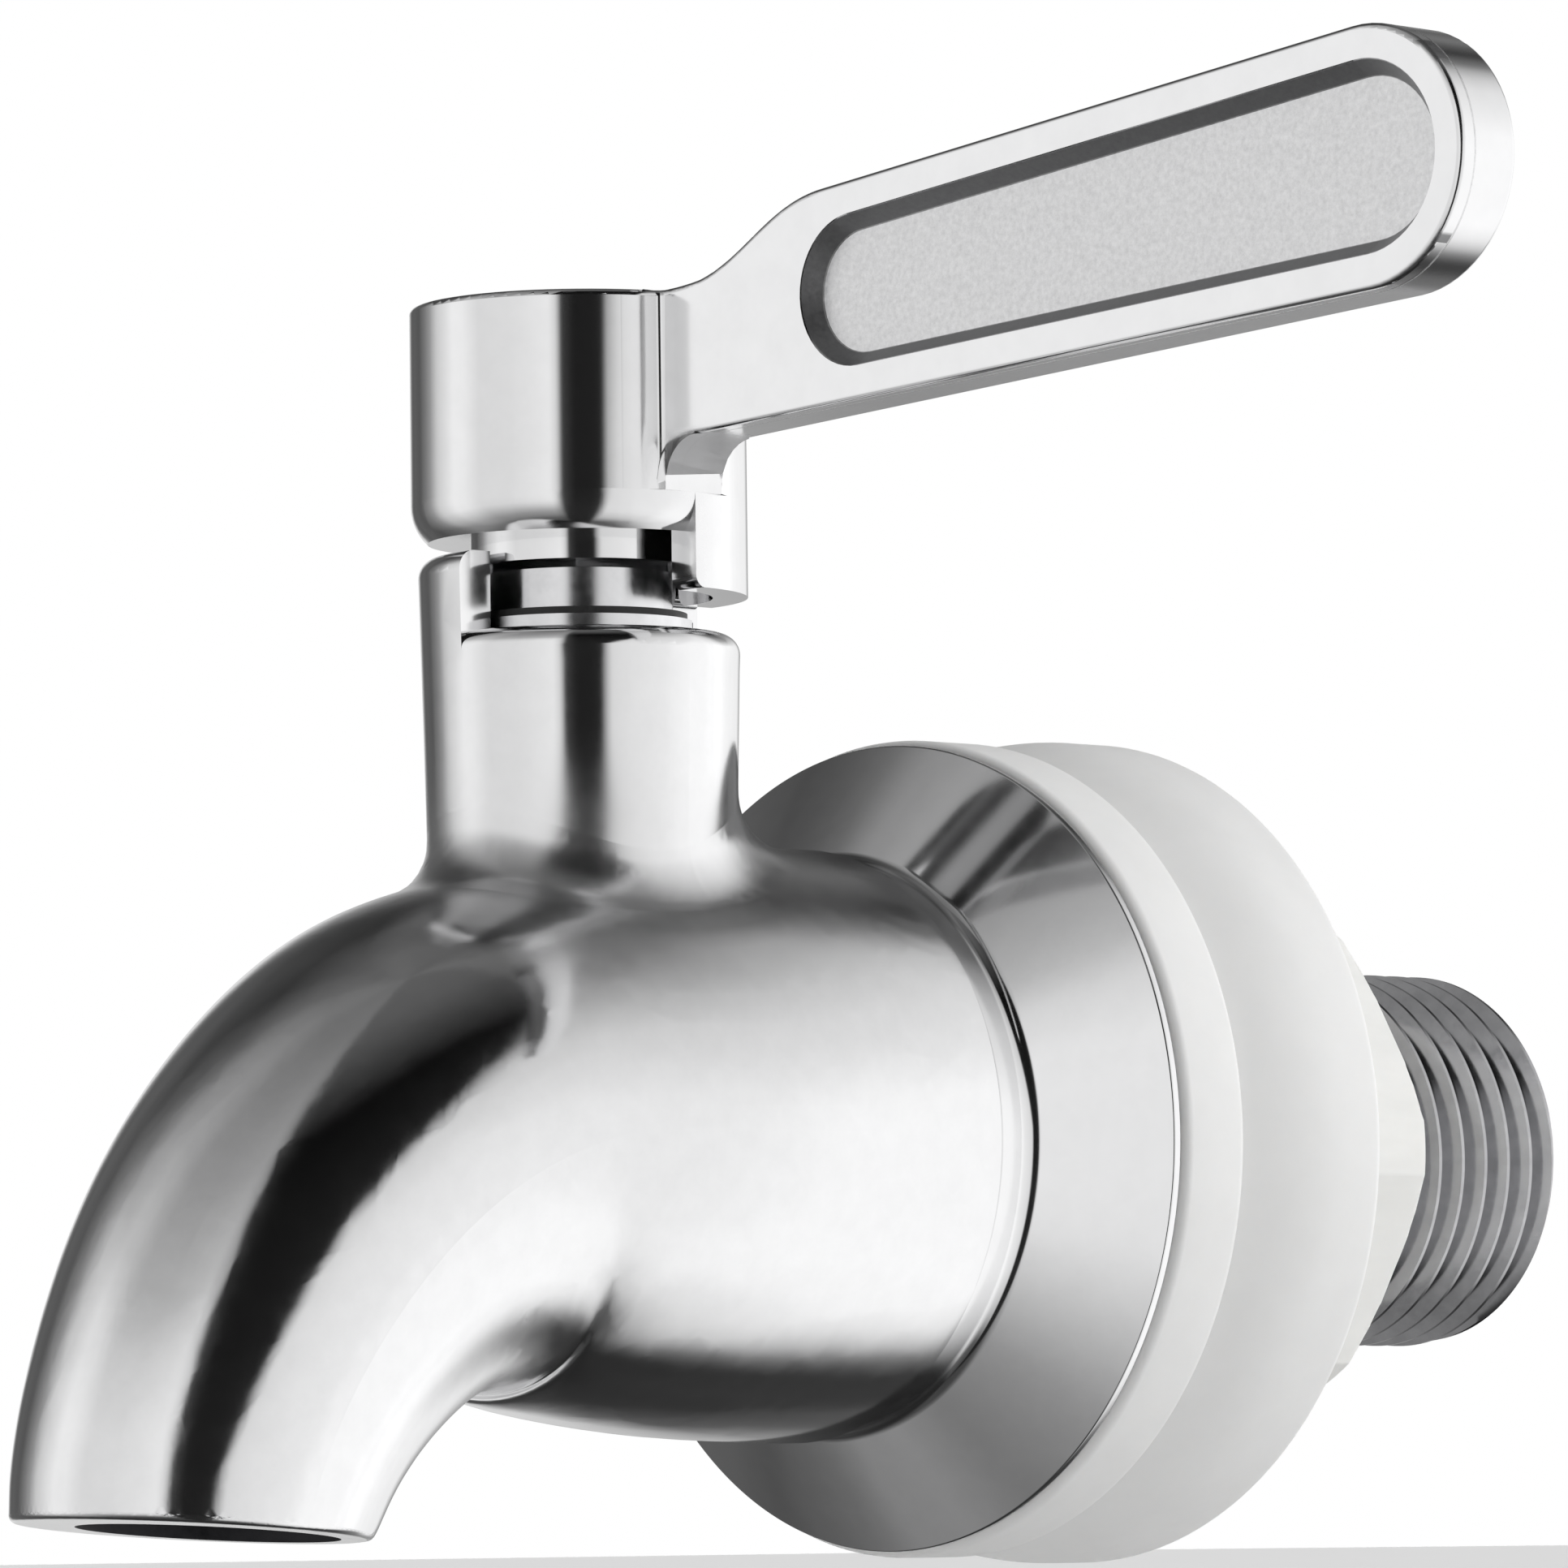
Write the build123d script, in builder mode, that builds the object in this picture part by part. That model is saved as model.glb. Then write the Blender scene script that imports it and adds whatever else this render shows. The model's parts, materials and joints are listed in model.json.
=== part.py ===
"""Beverage dispenser spigot: a cast quarter turn tap on a threaded shank.

The origin lies on the shank axis, in the plane of the dispenser wall. +Y points into the
dispenser, the spout pours at -Y, +Z is up, and the lever points to +X when the tap is shut.
Sizes are in millimetres.
"""

import os
from math import asin, cos, radians, sin, tan

from build123d import *

# Shank and what is clamped on it
thread_major_r = 15.875 / 2
thread_pitch = 25.4 / 18
shank_free_length = 11.6
shank_end_chamfer = 0.8
inlet_bore_r = 5.25
slip_gap = 0.06

# Escutcheon, washers and nut, from the barrel to the free thread
escutcheon_height = 5.3
escutcheon_neck_height = 1.6
escutcheon_neck_r = 11.6
escutcheon_web = 2.0
escutcheon_rim_r = 16.45
escutcheon_rim_edge = 0.4
escutcheon_rim_land = 1.5
escutcheon_fillet = 0.9
front_washer_height = 3.5
front_washer_overhang = 0.25
front_washer_round = 0.35
gasket_height = 7.7
gasket_overhang = 0.3
gasket_front_draw = 1.7
gasket_dome_height = 5.2
gasket_round = 0.4
nut_height = 9.5
nut_wall = 2.0625
nut_corner_rise = 0.95
nut_chamfer_angle = 30

# Cast body
neck_to_barrel_end = 11.7
barrel_r = 12.0
barrel_edge = 0.35
throat_taper = 1.28
throat_taper_power = 2.5
bend_start = 4.35
bend_lead = 9.9
bend_run = 4.35
spout_reach = 20.65
spout_drop = 15.3
spout_taper_bow = 0.25
mouth_r = 6.9
mouth_edge = 0.3
mouth_tilt = 4.5
mouth_bore_r = 5.1
mouth_bore_shift = 0.9
neck_foot_r = 5.9
neck_top_r = 6.45
neck_fillet = 3.2
neck_rim_round = 0.8
notch_floor_z = 20.05
rim_top_z = 23.2
chamber_r = 4.8
chamber_floor_z = -4.6
port_r = 2.5
inlet_step = 8.5

# Plug valve inside the neck
running_gap = 0.06
ring_gap = 0.03
sleeve_wall = 0.95
sleeve_top_z = 4.9
plug_end_gap = 0.15
stem_barrel_bottom_z = 5.2
stem_barrel_top_z = 18.3
stem_shaft_r = 3.7
stem_shoulder_z = 22.5
tang_width = 4.9
tang_top_z = 29.2
ring_groove_depth = 1.2
ring_groove_width = 1.7
lower_ring_z = 8.6
upper_ring_z = 12.4
thrust_washer_height = 0.6
gland_collar_r = 4.5
gland_collar_height = 0.55
gland_slot_width = 0.9
gland_slot_depth = 0.7
wiper_width = 0.55
wiper_height = 0.3

# Cast handle
hub_r = 6.7
hub_bottom_z = 23.8
hub_top_z = 33.2
hub_foot_height = 1.5
hub_foot_draw = 0.65
boss_r = 4.35
boss_height = 1.0
tab_bottom_z = 21.55
tab_thickness = 1.4
tab_stop_gap = 0.08
tab_round = 0.5
lever_tip_x = 44.2
lever_tip_r = 4.93
lever_taper = 1.07
lever_axis_z = 30.75
lever_rise_angle = 4.6
lever_thickness = 3.0
lever_root_fillet = 3.0
lever_under_fillet = 1.8
lever_edge_round = 0.25
shoulder_start_x = 6.8
shoulder_end_x = 15.5
panel_start_x = 17.4
panel_border = 1.3
panel_bevel = 0.6
panel_depth = 0.75

# Screw and spring washer that hold the handle on the stem
screw_r = 2.0
screw_hole_gap = 0.05
screw_head_r = 3.5
screw_head_height = 1.9
screw_length = 8.0
screw_slot_width = 1.0
screw_slot_depth = 1.0
head_side_gap = 0.3
socket_gap = 0.05
socket_end_gap = 0.2
socket_web = 1.3
spring_washer_height = 0.8
spring_washer_r = 3.3
spring_washer_split = 0.6

# Sizes and places that follow from those
throat_r = barrel_r - throat_taper
front_washer_r = escutcheon_rim_r + front_washer_overhang
gasket_r = front_washer_r + gasket_overhang
gasket_front_r = gasket_r - gasket_front_draw
nut_flat_r = thread_major_r + nut_wall
nut_corner_r = nut_flat_r + nut_corner_rise
front_washer_front_y = -front_washer_height
barrel_end_y = front_washer_front_y - escutcheon_height
neck_y = barrel_end_y - neck_to_barrel_end
nut_front_y = gasket_height
nut_rear_y = nut_front_y + nut_height
shank_end_y = nut_rear_y + shank_free_length
thread_pitch_r = thread_major_r - 0.3248 * thread_pitch
shank_hole_r = thread_major_r + slip_gap
bend_y = neck_y - bend_start
mouth_y = neck_y - spout_reach
plug_r = chamber_r - sleeve_wall - running_gap
plug_bottom_z = chamber_floor_z + plug_end_gap
stem_barrel_r = chamber_r - running_gap
thrust_washer_z = stem_barrel_top_z + running_gap
gland_bottom_z = thrust_washer_z + thrust_washer_height
gland_top_z = notch_floor_z + gland_collar_height
boss_bottom_z = hub_bottom_z - boss_height
socket_top_z = tang_top_z + socket_end_gap
spring_washer_z = socket_top_z + socket_web
head_seat_z = spring_washer_z + spring_washer_height
lever_root_r = lever_tip_r - lever_taper
lever_tip_z = lever_axis_z + lever_tip_x * tan(radians(lever_rise_angle))
neck_axis = Axis((0, neck_y, 0), (0, 0, 1))
shank_axis = Axis((0, 0, 0), (0, 1, 0))
neck_side = Plane(origin=(0, neck_y, 0), x_dir=(1, 0, 0), z_dir=(0, -1, 0))
shank_side = Plane(origin=(0, 0, 0), x_dir=(0, 1, 0), z_dir=(1, 0, 0))
lever_face = neck_side.offset(lever_thickness / 2)


def facing_spout(y):
    """The plane square to the shank at this place, facing the spout."""
    return Plane(origin=(0, y, 0), x_dir=(1, 0, 0), z_dir=(0, -1, 0))


def facing_dispenser(y):
    """The plane square to the shank at this place, facing into the dispenser."""
    return Plane(origin=(0, y, 0), x_dir=(-1, 0, 0), z_dir=(0, 1, 0))


def on_neck(z):
    """The plane square to the neck at this height, with its origin on the neck axis."""
    return Plane(origin=(0, neck_y, z), x_dir=(1, 0, 0), z_dir=(0, 0, 1))


def across_spout(share):
    """The plane across the spout's bend, from share 0 at the throat to 1 at the mouth."""
    return Plane(origin=spout_line @ share, x_dir=(1, 0, 0), z_dir=spout_line % share)


def barrel_radius(share):
    """The barrel's radius, which narrows from share 0 at its end to 1 at the throat."""
    return barrel_r - throat_taper * share**throat_taper_power


def spout_radius(share):
    """The spout's outer radius, which narrows from share 0 at the throat to 1 at the mouth."""
    ahead = 1 - share
    return mouth_r + (throat_r - mouth_r) * (ahead + spout_taper_bow * (ahead**2 - ahead))


def channel_radius(share):
    """The radius of the channel in the spout, which widens from the port to the mouth."""
    return port_r + (mouth_bore_r - port_r) * share


def at_neck_root(edge):
    """Whether an edge runs round the foot of the neck, where it rises from the barrel."""
    points = [edge.position_at(share) for share in (0, 0.5, 1)]
    spans = [(point.X**2 + (point.Y - neck_y) ** 2) ** 0.5 for point in points]
    level = all(throat_r / 2 < point.Z < barrel_r for point in points)
    return level and all(neck_foot_r - 0.1 < span < neck_top_r for span in spans)


# The middle line of the spout bends down from the barrel's axis to the mouth
with BuildLine(shank_side) as spout_middle:
    Bezier(
        (bend_y, 0),
        (bend_y - bend_lead, 0),
        (mouth_y + bend_run * tan(radians(mouth_tilt)), bend_run - spout_drop),
        (mouth_y, -spout_drop),
    )
spout_line = spout_middle.line
barrel_shares = [0, 0.25, 0.5, 0.75]
spout_shares = [0, 1 / 6, 1 / 3, 1 / 2, 2 / 3, 5 / 6, 1]

# Cast body: barrel and spout in one horn, neck with its stop rim, and threaded shank
with BuildPart() as body:
    for share in barrel_shares:
        with BuildSketch(facing_spout(barrel_end_y + (bend_y - barrel_end_y) * share)):
            Circle(barrel_radius(share))
    for share in spout_shares:
        with BuildSketch(across_spout(share)):
            Circle(spout_radius(share))
    loft()
    with BuildSketch(neck_side):
        Polygon((0, 0), (neck_foot_r, 0), (neck_top_r, rim_top_z), (0, rim_top_z), align=None)
    revolve(axis=neck_axis)
    fillet(body.edges().filter_by(at_neck_root), neck_fillet)
    mouth_face = body.faces().filter_by(GeomType.PLANE).sort_by(Axis.Z)[0]
    fillet(mouth_face.edges(), mouth_edge)
    # A turned bevel finishes the barrel's end
    with BuildSketch(shank_side):
        Polygon(
            (barrel_end_y, barrel_r - barrel_edge),
            (barrel_end_y, barrel_r + barrel_edge),
            (barrel_end_y - 2 * barrel_edge, barrel_r + barrel_edge),
            align=None,
        )
    revolve(axis=shank_axis, mode=Mode.SUBTRACT)
    # Half of the rim is cut away on the lever's side, and the tab of the handle swings there
    with BuildSketch(on_neck(notch_floor_z)):
        Rectangle(2 * neck_top_r, 4 * neck_top_r, align=(Align.MIN, Align.CENTER))
    extrude(amount=rim_top_z, mode=Mode.SUBTRACT)
    rim_arcs = body.edges().filter_by(GeomType.CIRCLE)
    rim_arcs = rim_arcs.filter_by_position(Axis.Z, notch_floor_z - 0.1, rim_top_z + 0.1)
    fillet(rim_arcs, neck_rim_round)
    with BuildSketch(on_neck(chamber_floor_z)):
        Circle(chamber_r)
    extrude(amount=rim_top_z - chamber_floor_z, mode=Mode.SUBTRACT)
    # Channel down the spout, nearer to its inner bend at the mouth
    with BuildSketch(facing_spout(neck_y)):
        Circle(port_r)
    for share in spout_shares:
        with BuildSketch(across_spout(share)):
            with Locations((0, -mouth_bore_shift * share)):
                Circle(channel_radius(share))
    loft(mode=Mode.SUBTRACT)
    # Shank: the thread is drawn at its crests, and at its pitch radius where the nut holds it
    with BuildSketch(shank_side):
        Polygon(
            (neck_y + inlet_step, 0),
            (neck_y + inlet_step, thread_major_r),
            (nut_front_y, thread_major_r),
            (nut_front_y, thread_pitch_r),
            (nut_rear_y, thread_pitch_r),
            (nut_rear_y, thread_major_r),
            (shank_end_y - shank_end_chamfer, thread_major_r),
            (shank_end_y, thread_major_r - shank_end_chamfer),
            (shank_end_y, 0),
            align=None,
        )
    revolve(axis=shank_axis)
    # Inlet bore with its step down to the port
    with BuildSketch(shank_side):
        Polygon(
            (neck_y, 0),
            (neck_y, port_r),
            (neck_y + inlet_step, port_r),
            (neck_y + inlet_step + (inlet_bore_r - port_r) / 2, inlet_bore_r),
            (shank_end_y + 1, inlet_bore_r),
            (shank_end_y + 1, 0),
            align=None,
        )
    revolve(axis=shank_axis, mode=Mode.SUBTRACT)

# Flange that covers the dispenser's hole, dished behind
with BuildPart() as escutcheon:
    cone_foot = barrel_end_y + escutcheon_neck_height
    cone_rim = front_washer_front_y - escutcheon_rim_edge
    web_y = barrel_end_y + escutcheon_web
    dish_foot_r = (shank_hole_r + escutcheon_neck_r) / 2
    with BuildSketch(shank_side) as escutcheon_section:
        Polygon(
            (barrel_end_y, shank_hole_r),
            (barrel_end_y, escutcheon_neck_r),
            (cone_foot, escutcheon_neck_r),
            (cone_rim, escutcheon_rim_r),
            (front_washer_front_y, escutcheon_rim_r),
            (front_washer_front_y, escutcheon_rim_r - escutcheon_rim_land),
            (web_y, dish_foot_r),
            (web_y, shank_hole_r),
            align=None,
        )
        corner = escutcheon_section.vertices().sort_by_distance((cone_foot, escutcheon_neck_r))
        fillet(corner[0], escutcheon_fillet)
    revolve(axis=shank_axis)

# Flat washer in front of the wall
with BuildPart() as front_washer:
    with BuildSketch(facing_spout(0)):
        Circle(front_washer_r)
        Circle(shank_hole_r, mode=Mode.SUBTRACT)
    extrude(amount=front_washer_height)
    washer_edges = front_washer.edges().filter_by(GeomType.CIRCLE)
    fillet(washer_edges.group_by(SortBy.RADIUS)[-1], front_washer_round)

# Thick domed gasket behind the wall
with BuildPart() as rear_gasket:
    with BuildSketch(shank_side) as gasket_section:
        with BuildLine():
            dome = TangentArc(
                (gasket_dome_height, gasket_r), (0, gasket_front_r), tangent=(-1, 0)
            )
            Polyline(
                dome @ 1,
                (0, shank_hole_r),
                (gasket_height, shank_hole_r),
                (gasket_height, gasket_r),
                dome @ 0,
            )
        make_face()
        corner = gasket_section.vertices().sort_by_distance((gasket_height, gasket_r))
        fillet(corner[0], gasket_round)
    revolve(axis=shank_axis)

# Hexagonal nut with its corners turned off at both ends
with BuildPart() as lock_nut:
    with BuildSketch(facing_dispenser(nut_front_y)):
        RegularPolygon(nut_flat_r, 6, major_radius=False)
    extrude(amount=nut_height)
    chamfer_drop = nut_corner_rise * tan(radians(nut_chamfer_angle))
    with BuildSketch(shank_side):
        Polygon(
            (nut_front_y, 0),
            (nut_front_y, nut_flat_r),
            (nut_front_y + chamfer_drop, nut_corner_r),
            (nut_rear_y - chamfer_drop, nut_corner_r),
            (nut_rear_y, nut_flat_r),
            (nut_rear_y, 0),
            align=None,
        )
    revolve(axis=shank_axis, mode=Mode.INTERSECT)
    with BuildSketch(facing_dispenser(nut_front_y)):
        Circle(thread_pitch_r + slip_gap)
    extrude(amount=nut_height, mode=Mode.SUBTRACT)

# Seat sleeve that lines the chamber, with a port on each side of the plug
with BuildPart() as seat_sleeve:
    with BuildSketch(on_neck(chamber_floor_z)):
        Circle(chamber_r - ring_gap)
        Circle(plug_r + running_gap, mode=Mode.SUBTRACT)
    extrude(amount=sleeve_top_z - chamber_floor_z)
    with BuildSketch(facing_spout(neck_y)):
        Circle(port_r)
    extrude(amount=chamber_r, both=True, mode=Mode.SUBTRACT)

# Stem: ported plug, barrel with two seal grooves, shaft, and square tang for the handle
with BuildPart() as stem:
    with BuildSketch(neck_side):
        Polygon(
            (0, plug_bottom_z),
            (plug_r, plug_bottom_z),
            (plug_r, stem_barrel_bottom_z),
            (stem_barrel_r, stem_barrel_bottom_z),
            (stem_barrel_r, stem_barrel_top_z),
            (stem_shaft_r, stem_barrel_top_z),
            (stem_shaft_r, stem_shoulder_z),
            (0, stem_shoulder_z),
            align=None,
        )
        with Locations((stem_barrel_r, lower_ring_z), (stem_barrel_r, upper_ring_z)):
            Rectangle(2 * ring_groove_depth, ring_groove_width, mode=Mode.SUBTRACT)
    revolve(axis=neck_axis)
    with BuildSketch(on_neck(stem_shoulder_z)):
        Rectangle(tang_width, tang_width)
    extrude(amount=tang_top_z - stem_shoulder_z)
    with BuildSketch(Plane(origin=(0, neck_y, 0), x_dir=(0, 1, 0), z_dir=(1, 0, 0))):
        Circle(port_r)
    extrude(amount=chamber_r, both=True, mode=Mode.SUBTRACT)
    with BuildSketch(on_neck(head_seat_z - screw_length - socket_end_gap)):
        Circle(screw_r + screw_hole_gap)
    extrude(amount=screw_length, mode=Mode.SUBTRACT)

# Two stem seals, each in its groove
stem_rings = {}
for ring_name, ring_z in (("lower_stem_ring", lower_ring_z), ("upper_stem_ring", upper_ring_z)):
    groove_root_r = stem_barrel_r - ring_groove_depth
    with BuildPart() as stem_ring:
        with BuildSketch(neck_side):
            with Locations(((groove_root_r + chamber_r) / 2, ring_z)):
                Circle((chamber_r - groove_root_r) / 2 - ring_gap)
        revolve(axis=neck_axis)
    stem_rings[ring_name] = stem_ring

# Slippery washer between the stem's barrel and the gland nut
with BuildPart() as thrust_washer:
    with BuildSketch(on_neck(thrust_washer_z)):
        Circle(chamber_r - ring_gap)
        Circle(stem_shaft_r + running_gap, mode=Mode.SUBTRACT)
    extrude(amount=thrust_washer_height)

# Gland nut screwed into the neck, which holds the stem down, slotted for its key
with BuildPart() as gland_nut:
    with BuildSketch(neck_side):
        Polygon(
            (stem_shaft_r + running_gap, gland_bottom_z),
            (chamber_r - ring_gap, gland_bottom_z),
            (chamber_r - ring_gap, notch_floor_z - gland_collar_height),
            (gland_collar_r, notch_floor_z - gland_collar_height),
            (gland_collar_r, gland_top_z),
            (stem_shaft_r + running_gap, gland_top_z),
            align=None,
        )
    revolve(axis=neck_axis)
    with BuildSketch(on_neck(gland_top_z).rotated((0, 0, 45))):
        Rectangle(3 * chamber_r, gland_slot_width)
    extrude(amount=-gland_slot_depth, mode=Mode.SUBTRACT)

# Wiper ring round the stem, on top of the gland nut
with BuildPart() as wiper_ring:
    with BuildSketch(neck_side):
        with Locations((stem_shaft_r + ring_gap, gland_top_z)):
            Rectangle(wiper_width, wiper_height, align=Align.MIN)
    revolve(axis=neck_axis)

# Cast handle: the side outline and the plan outline cross, and share hub and lever
with BuildPart() as handle:
    lever_length = lever_tip_x / cos(radians(lever_rise_angle))
    top_slope = radians(lever_rise_angle) + asin(lever_taper / lever_length)
    shoulder_end_z = (
        lever_tip_z + lever_tip_r / cos(top_slope) - (lever_tip_x - shoulder_end_x) * tan(top_slope)
    )
    with BuildSketch(neck_side) as side_outline:
        with Locations((0, lever_axis_z)):
            Circle(lever_root_r)
        with Locations((lever_tip_x, lever_tip_z)):
            Circle(lever_tip_r)
        make_hull()
        with Locations((0, hub_bottom_z)):
            Rectangle(2 * hub_r, hub_top_z - hub_bottom_z, align=(Align.CENTER, Align.MIN))
        under_lever = side_outline.vertices().filter_by_position(Axis.X, hub_r - 0.01, hub_r + 0.01)
        fillet(under_lever.sort_by(Axis.Z)[1], lever_under_fillet)
        with BuildLine():
            shoulder = Spline(
                (shoulder_start_x, hub_top_z),
                (shoulder_end_x, shoulder_end_z),
                tangents=[(1, 0), (cos(top_slope), sin(top_slope))],
            )
            Polyline(
                shoulder @ 1,
                (shoulder_end_x, shoulder_end_z + lever_tip_r),
                (-2 * hub_r, shoulder_end_z + lever_tip_r),
                (-2 * hub_r, hub_top_z),
                shoulder @ 0,
            )
        make_face(mode=Mode.SUBTRACT)
    extrude(amount=hub_r, both=True)
    with BuildSketch(on_neck(hub_bottom_z)) as plan_outline:
        Circle(hub_r)
        Rectangle(
            lever_tip_x + lever_tip_r,
            lever_thickness,
            align=(Align.MIN, Align.CENTER),
        )
        beside_lever = plan_outline.vertices().filter_by_position(Axis.X, 0.1, hub_r)
        fillet(beside_lever, lever_root_fillet)
    extrude(amount=lever_tip_z + lever_tip_r, mode=Mode.INTERSECT)
    # The round of the hub's top runs on along the rims of the lever's two faces
    hub_top_rim = handle.edges().filter_by(GeomType.CIRCLE).group_by(Axis.Z)[-1]
    fillet(hub_top_rim, lever_edge_round)
    # The hub draws in towards its foot
    with BuildSketch(neck_side):
        with BuildLine():
            foot_curve = TangentArc(
                (hub_r, hub_bottom_z + hub_foot_height),
                (hub_r - hub_foot_draw, hub_bottom_z),
                tangent=(0, -1),
            )
            Polyline(
                foot_curve @ 1,
                (2 * hub_r, hub_bottom_z),
                (2 * hub_r, hub_bottom_z + hub_foot_height),
                foot_curve @ 0,
            )
        make_face()
    revolve(axis=neck_axis, mode=Mode.SUBTRACT)
    # Boss that sits over the stem's shoulder, and the tab that meets the neck's stop faces
    with BuildSketch(on_neck(boss_bottom_z)):
        Circle(boss_r)
    extrude(amount=boss_height + hub_foot_height)
    with BuildSketch(on_neck(tab_bottom_z)) as tab_plan:
        Circle(hub_r)
        Circle(hub_r - tab_thickness, mode=Mode.SUBTRACT)
        with Locations((tab_stop_gap, tab_stop_gap)):
            Rectangle(hub_r, hub_r, align=Align.MIN, mode=Mode.INTERSECT)
    extrude(amount=hub_bottom_z + hub_foot_height - tab_bottom_z)
    tab_foot = handle.faces().sort_by(Axis.Z)[0].edges()
    fillet(tab_foot.filter_by(GeomType.LINE), tab_round)
    # Recessed panel with bevelled walls in the face that the user sees
    for depth, inset in ((0, 0), (panel_depth, panel_bevel)):
        start_r = lever_tip_r - lever_taper * (1 - panel_start_x / lever_tip_x) - panel_border
        start_z = lever_axis_z + panel_start_x * tan(radians(lever_rise_angle))
        with BuildSketch(lever_face.offset(-depth)):
            with Locations((panel_start_x, start_z)):
                Circle(start_r - inset)
            with Locations((lever_tip_x, lever_tip_z)):
                Circle(lever_tip_r - panel_border - inset)
            make_hull()
    loft(ruled=True, mode=Mode.SUBTRACT)
    # Square socket for the tang, and the screw's hole and counterbore from above
    with BuildSketch(on_neck(boss_bottom_z)):
        Rectangle(tang_width + 2 * socket_gap, tang_width + 2 * socket_gap)
    extrude(amount=socket_top_z - boss_bottom_z, mode=Mode.SUBTRACT)
    with BuildSketch(on_neck(socket_top_z)):
        Circle(screw_r + screw_hole_gap)
    extrude(amount=socket_web, mode=Mode.SUBTRACT)
    with BuildSketch(on_neck(spring_washer_z)):
        Circle(screw_head_r + head_side_gap)
    extrude(amount=hub_top_z - spring_washer_z, mode=Mode.SUBTRACT)

# Slotted screw down into the stem
with BuildPart() as handle_screw:
    with BuildSketch(on_neck(head_seat_z)):
        Circle(screw_head_r)
    extrude(amount=screw_head_height)
    with BuildSketch(on_neck(head_seat_z)):
        Circle(screw_r)
    extrude(amount=-screw_length)
    with BuildSketch(on_neck(head_seat_z + screw_head_height)):
        Rectangle(2 * screw_head_r, screw_slot_width)
    extrude(amount=-screw_slot_depth, mode=Mode.SUBTRACT)

# Split spring washer under the screw's head
with BuildPart() as spring_washer:
    with BuildSketch(on_neck(spring_washer_z)):
        Circle(spring_washer_r)
        Circle(screw_r + screw_hole_gap, mode=Mode.SUBTRACT)
        Rectangle(
            spring_washer_r,
            spring_washer_split,
            align=(Align.MIN, Align.CENTER),
            mode=Mode.SUBTRACT,
        )
    extrude(amount=spring_washer_height)

pieces = {
    "body": body,
    "escutcheon": escutcheon,
    "front_washer": front_washer,
    "rear_gasket": rear_gasket,
    "lock_nut": lock_nut,
    "seat_sleeve": seat_sleeve,
    "stem": stem,
    **stem_rings,
    "thrust_washer": thrust_washer,
    "gland_nut": gland_nut,
    "wiper_ring": wiper_ring,
    "handle": handle,
    "handle_screw": handle_screw,
    "spring_washer": spring_washer,
}
os.makedirs("parts", exist_ok=True)
for piece_name, piece in pieces.items():
    piece.part.label = piece_name
    export_step(piece.part, f"parts/{piece_name}.step")
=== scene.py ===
import json
from math import atan2, cos, hypot, pi, radians, sin, sqrt, tan

import bmesh
import bpy
from mathutils import Matrix, Vector, kdtree


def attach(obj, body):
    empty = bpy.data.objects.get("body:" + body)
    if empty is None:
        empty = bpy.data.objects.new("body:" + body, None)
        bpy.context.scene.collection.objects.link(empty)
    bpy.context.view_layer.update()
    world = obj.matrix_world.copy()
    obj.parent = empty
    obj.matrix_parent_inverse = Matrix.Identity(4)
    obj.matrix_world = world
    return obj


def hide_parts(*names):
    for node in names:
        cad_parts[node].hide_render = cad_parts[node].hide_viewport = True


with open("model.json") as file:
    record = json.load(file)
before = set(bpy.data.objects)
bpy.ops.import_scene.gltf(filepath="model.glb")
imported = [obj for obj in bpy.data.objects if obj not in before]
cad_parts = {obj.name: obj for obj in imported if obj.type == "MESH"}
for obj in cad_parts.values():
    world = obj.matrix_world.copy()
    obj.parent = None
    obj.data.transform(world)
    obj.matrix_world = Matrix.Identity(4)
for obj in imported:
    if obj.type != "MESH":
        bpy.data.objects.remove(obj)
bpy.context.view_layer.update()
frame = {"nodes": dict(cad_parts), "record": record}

MM = 0.001
nodes = frame["nodes"]
# In metres: points this near are merged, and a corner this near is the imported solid's own
weld, same_place = 2e-7, 1e-6

# Places along the shank and radii about it, in millimetres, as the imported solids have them
neck_y = -20.5
barrel_end = -8.8
washer_front = -3.5
gasket_rear = 7.7
nut_rear = 17.2
shank_end = 28.8
shank_chamfer = 0.8
shank_hole = 7.9975
bore_r = 5.25
thread_crest = 7.9375
thread_pitch = 25.4 / 18
thread_root = thread_crest - 0.6134 * thread_pitch
cone_neck_r, cone_neck_end = 11.6, -7.2
cone_rim_r, cone_rim_start = 16.45, -3.9
dish_rim_r, dish_floor_r, dish_floor_y = 14.95, 9.8, -6.8
washer_r = 16.7
dome_rise, dome_foot_r, dome_top_r = 5.2, 15.3, 17.0
nut_flat_r, nut_corner_r, nut_face_step = 10.0, 10.95, 0.15
nut_bore_r, countersink_r, countersink_depth = 7.54, 8.3, 0.7
# Inside the nut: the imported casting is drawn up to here, and the cut thread starts
cut_y = 12.45

# Sizes of the handle, in millimetres about the neck's axis
hub_r, foot_top = 6.7, 25.3
lever_half = 1.5
solid_round, drawn_round = 3.0, 0.3
under_x, under_z, under_r = 8.5, 25.559, 1.8
lever_axis_z, lever_slope, lever_tip_x, lever_taper = 30.75, tan(radians(4.6)), 44.2, 1.07
panel_floor, panel_half, panel_end_x = 0.75, 2.62, 48.0


# Scene and mesh helpers
def placed(name, data):
    """A new object with this data, linked to the scene."""
    obj = bpy.data.objects.new(name, data)
    bpy.context.scene.collection.objects.link(obj)
    return obj


def add_mesh(name, points, faces, sharp=35):
    """A smooth shaded mesh from points in millimetres, with creases above that angle."""
    mesh = bpy.data.meshes.new(name)
    mesh.from_pydata([Vector(p) * MM for p in points], [], faces)
    mesh.validate()
    mesh.update()
    obj = placed(name, mesh)
    face_outwards(obj, sharp)
    return obj


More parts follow.
